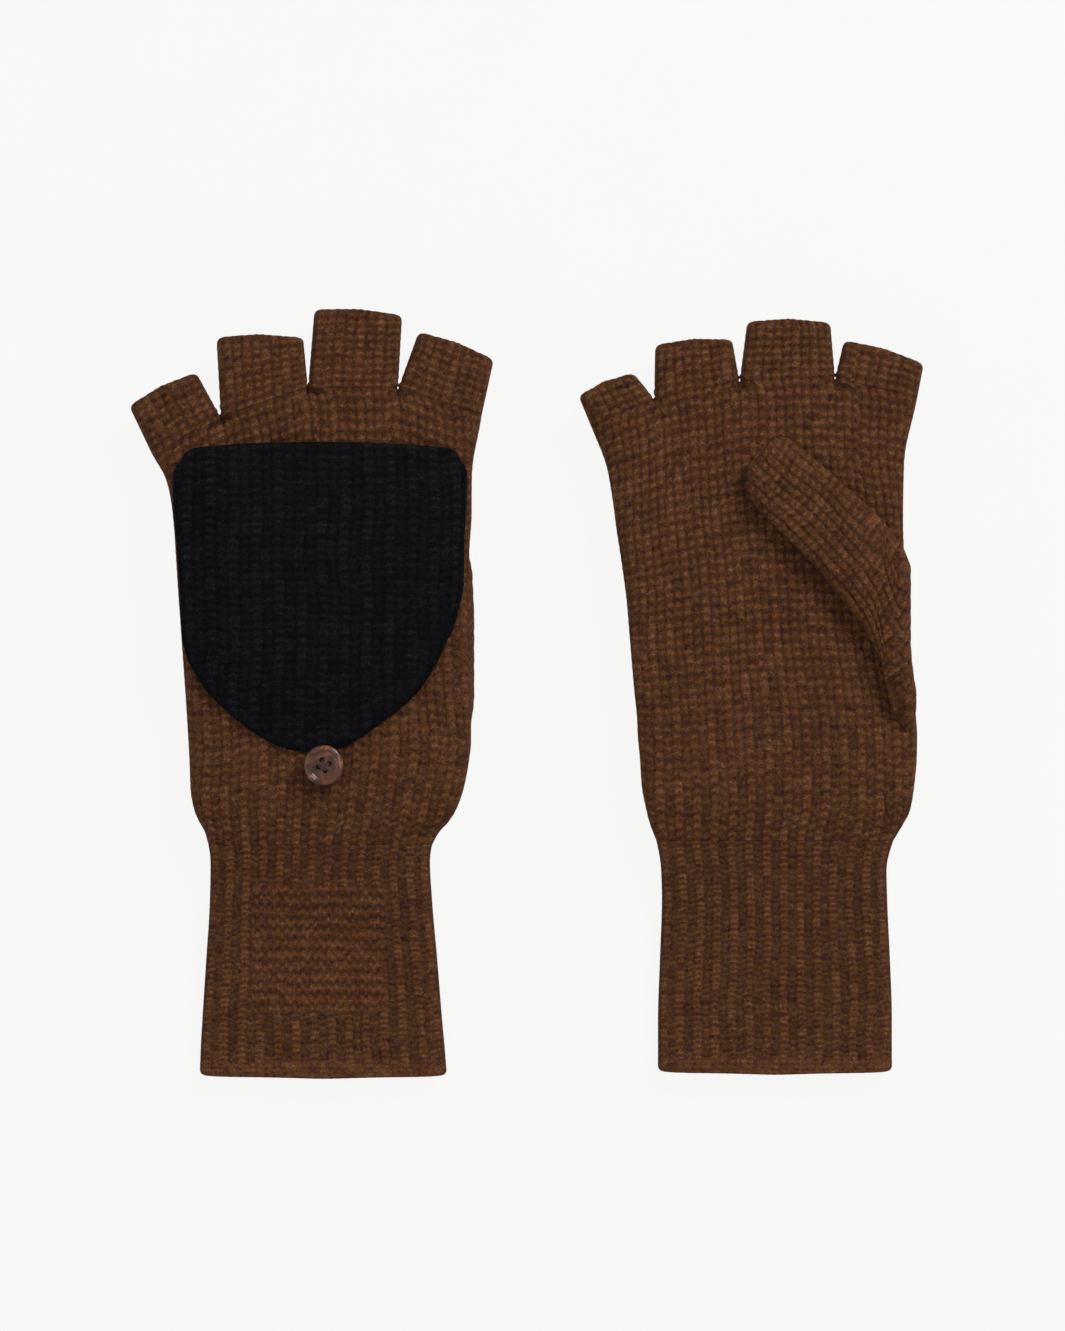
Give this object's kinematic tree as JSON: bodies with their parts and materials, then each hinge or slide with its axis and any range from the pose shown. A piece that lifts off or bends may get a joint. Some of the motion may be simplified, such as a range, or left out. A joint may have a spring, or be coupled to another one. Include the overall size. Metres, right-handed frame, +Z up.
{
  "type": "convertible flip-top mittens",
  "caption": "Pair of half-finger knitted gloves with fold-back mitten flaps held by a button, folded thumbs and long ribbed cuffs.",
  "frame": {"origin": "on the table, under the middle of the bounding box of the pair", "axes": "+X across the pair from the left glove to the right one, +Y from the cuffs to the fingertips, +Z up from the table"},
  "size_m": [0.246, 0.2382, 0.0236],
  "materials": {
    "brown": "marled brown wool knit",
    "black": "black wool rib knit",
    "shell": "polished mottled brown resin",
    "thread": "dark sewing thread",
    "elastic": "covered elastic cord"
  },
  "bodies": {
    "left_glove": {"left_hand_body": "brown", "left_rib_cuff": "brown", "left_button": "shell", "left_button_thread": "thread", "left_flap_hinge_seam": "black"},
    "left_flap_body": {"left_flap_back_panel": "black", "left_flap_front_panel": "black", "left_flap_edge_seam": "black", "left_button_loop": "elastic"},
    "left_thumb_body": {"left_thumb": "brown"},
    "left_little_body": {"left_little_finger": "brown"},
    "left_ring_body": {"left_ring_finger": "brown"},
    "left_middle_body": {"left_middle_finger": "brown"},
    "left_index_body": {"left_index_finger": "brown"},
    "right_glove": {"right_hand_body": "brown", "right_rib_cuff": "brown", "right_button": "shell", "right_button_thread": "thread", "right_flap_hinge_seam": "black"},
    "right_flap_body": {"right_flap_back_panel": "black", "right_flap_front_panel": "black", "right_flap_edge_seam": "black", "right_button_loop": "elastic"},
    "right_thumb_body": {"right_thumb": "brown"},
    "right_little_body": {"right_little_finger": "brown"},
    "right_ring_body": {"right_ring_finger": "brown"},
    "right_middle_body": {"right_middle_finger": "brown"},
    "right_index_body": {"right_index_finger": "brown"}
  },
  "joints": [
    {"name": "left_flap_fold", "type": "hinge", "parent": "left_glove", "child": "left_flap_body", "pos_m": [-0.06325, 0.07785, 0.0199], "axis": [-1, 0, 0], "range_deg": [0, 180], "deforming": ["left_button_loop"]},
    {"name": "left_thumb_unfold", "type": "hinge", "parent": "left_glove", "child": "left_thumb_body", "pos_m": [-0.01695, 0.01595, 0.00775], "axis": [0, -1, 0], "range_deg": [0, 160]},
    {"name": "left_little_bend", "type": "hinge", "parent": "left_glove", "child": "left_little_body", "pos_m": [-0.10582, 0.07978, 0.0079], "axis": [-0.886, -0.4637, 0], "range_deg": [0, 75]},
    {"name": "left_ring_bend", "type": "hinge", "parent": "left_glove", "child": "left_ring_body", "pos_m": [-0.0816, 0.09004, 0.0079], "axis": [-0.9455, -0.3257, 0], "range_deg": [0, 75]},
    {"name": "left_middle_bend", "type": "hinge", "parent": "left_glove", "child": "left_middle_body", "pos_m": [-0.0541, 0.09455, 0.0079], "axis": [-0.9999, 0.0108, 0], "range_deg": [0, 75]},
    {"name": "left_index_bend", "type": "hinge", "parent": "left_glove", "child": "left_index_body", "pos_m": [-0.02711, 0.09034, 0.0079], "axis": [-0.9547, 0.2974, 0], "range_deg": [0, 75]},
    {"name": "right_flap_fold", "type": "hinge", "parent": "right_glove", "child": "right_flap_body", "pos_m": [0.07695, 0.07909, 0.0037], "axis": [1, 0, 0], "range_deg": [0, 180], "deforming": ["right_button_loop"]},
    {"name": "right_thumb_unfold", "type": "hinge", "parent": "right_glove", "child": "right_thumb_body", "pos_m": [0.1207, 0.01719, 0.01585], "axis": [-0.041, 0.9992, 0], "range_deg": [0, 160]},
    {"name": "right_little_bend", "type": "hinge", "parent": "right_glove", "child": "right_little_body", "pos_m": [0.02944, 0.08708, 0.0157], "axis": [0.9097, 0.4152, 0], "range_deg": [0, 75]},
    {"name": "right_ring_bend", "type": "hinge", "parent": "right_glove", "child": "right_ring_body", "pos_m": [0.05247, 0.09404, 0.0157], "axis": [0.9827, 0.1854, 0], "range_deg": [0, 75]},
    {"name": "right_middle_bend", "type": "hinge", "parent": "right_glove", "child": "right_middle_body", "pos_m": [0.08055, 0.09699, 0.0157], "axis": [0.9995, 0.0304, 0], "range_deg": [0, 75]},
    {"name": "right_index_bend", "type": "hinge", "parent": "right_glove", "child": "right_index_body", "pos_m": [0.10813, 0.09449, 0.0157], "axis": [0.9743, -0.2254, 0], "range_deg": [0, 75]},
    {"name": "right_glove_apart", "type": "slide", "parent": "left_glove", "child": "right_glove", "axis": [1, 0, 0], "range_m": [0, 0.15]}
  ]
}
